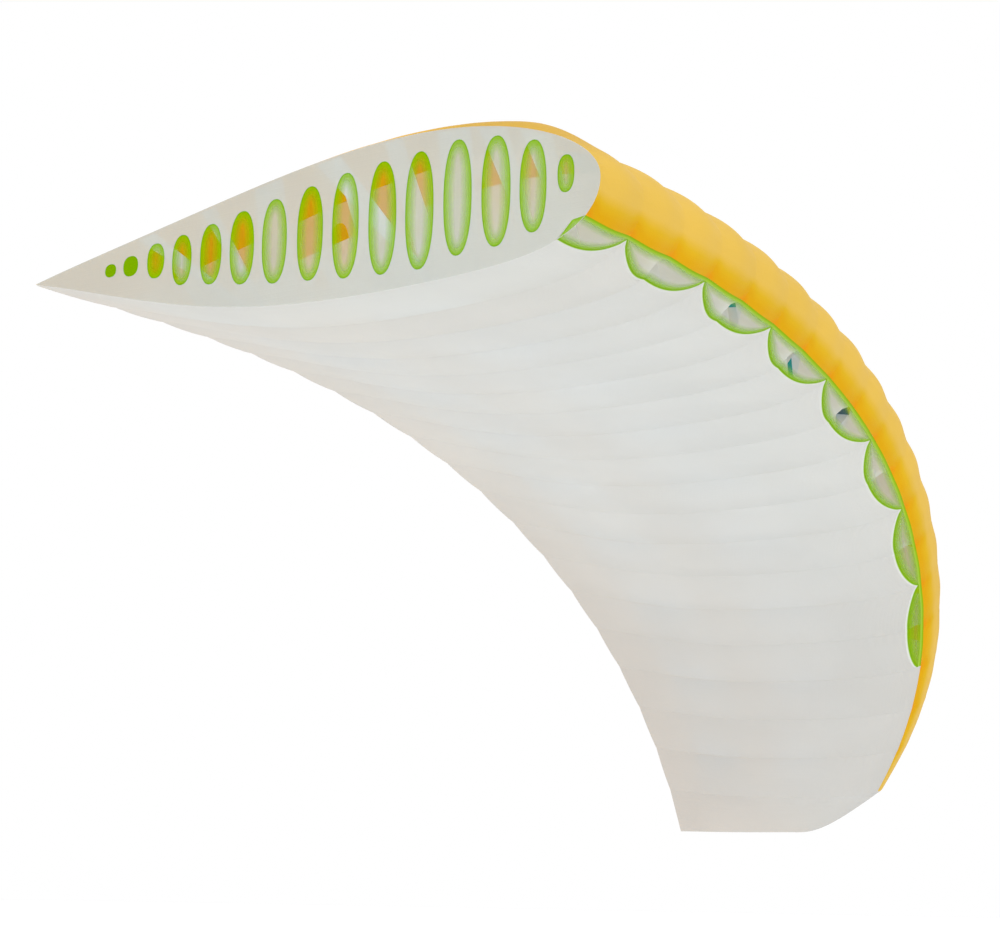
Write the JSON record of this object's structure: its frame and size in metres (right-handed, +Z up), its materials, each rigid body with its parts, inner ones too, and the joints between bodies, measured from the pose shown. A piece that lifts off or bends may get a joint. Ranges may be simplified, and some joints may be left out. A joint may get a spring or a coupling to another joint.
{
  "type": "paraglider wing half, sectioned at its middle rib",
  "caption": "Half of a ram-air paraglider wing in its inflated, downward-arching shape, cut open at the middle rib to show its cells, ribs, ports and air mouths.",
  "frame": {"origin": "on the flat face of the middle rib, on the cloth between its ninth and tenth ports counted from the trailing edge, about 38 percent of the chord behind the nose", "axes": "+X forward to the leading edge, +Y outwards to the wing tip, square to the middle rib's face, +Z up"},
  "size_m": [2.8147, 4.4427, 2.4856],
  "materials": {
    "upper_cloth": "golden yellow coated ripstop, slightly sheer, soft sheen",
    "lower_cloth": "white coated ripstop, slightly sheer, soft sheen",
    "rib_cloth": "off-white hard-finished ripstop, sheer, matt",
    "lip_tape": "lime green woven binding tape, matt"
  },
  "bodies": {
    "root": {"upper_panel_01": "upper_cloth", "upper_panel_02": "upper_cloth", "upper_panel_03": "upper_cloth", "upper_panel_04": "upper_cloth", "upper_panel_05": "upper_cloth", "upper_panel_06": "upper_cloth", "upper_panel_07": "upper_cloth", "upper_panel_08": "upper_cloth", "upper_panel_09": "upper_cloth", "upper_panel_10": "upper_cloth", "upper_panel_11": "upper_cloth", "upper_panel_12": "upper_cloth", "upper_panel_13": "upper_cloth", "upper_panel_14": "upper_cloth", "upper_panel_15": "upper_cloth", "upper_panel_16": "upper_cloth", "upper_panel_17": "upper_cloth", "upper_panel_18": "upper_cloth", "upper_panel_19": "upper_cloth", "lower_panel_01": "lower_cloth", "lower_panel_02": "lower_cloth", "lower_panel_03": "lower_cloth", "lower_panel_04": "lower_cloth", "lower_panel_05": "lower_cloth", "lower_panel_06": "lower_cloth", "lower_panel_07": "lower_cloth", "lower_panel_08": "lower_cloth", "lower_panel_09": "lower_cloth", "lower_panel_10": "lower_cloth", "lower_panel_11": "lower_cloth", "lower_panel_12": "lower_cloth", "lower_panel_13": "lower_cloth", "lower_panel_14": "lower_cloth", "lower_panel_15": "lower_cloth", "lower_panel_16": "lower_cloth", "lower_panel_17": "lower_cloth", "lower_panel_18": "lower_cloth", "lower_panel_19": "lower_cloth", "rib_00": "rib_cloth", "rib_01": "rib_cloth", "rib_02": "rib_cloth", "rib_03": "rib_cloth", "rib_04": "rib_cloth", "rib_05": "rib_cloth", "rib_06": "rib_cloth", "rib_07": "rib_cloth", "rib_08": "rib_cloth", "rib_09": "rib_cloth", "rib_10": "rib_cloth", "rib_11": "rib_cloth", "rib_12": "rib_cloth", "rib_13": "rib_cloth", "rib_14": "rib_cloth", "rib_15": "rib_cloth", "rib_16": "rib_cloth", "rib_17": "rib_cloth", "rib_18": "rib_cloth", "upper_lip_tape": "lip_tape", "lower_lip_tape": "lip_tape"}
  },
  "joints": []
}
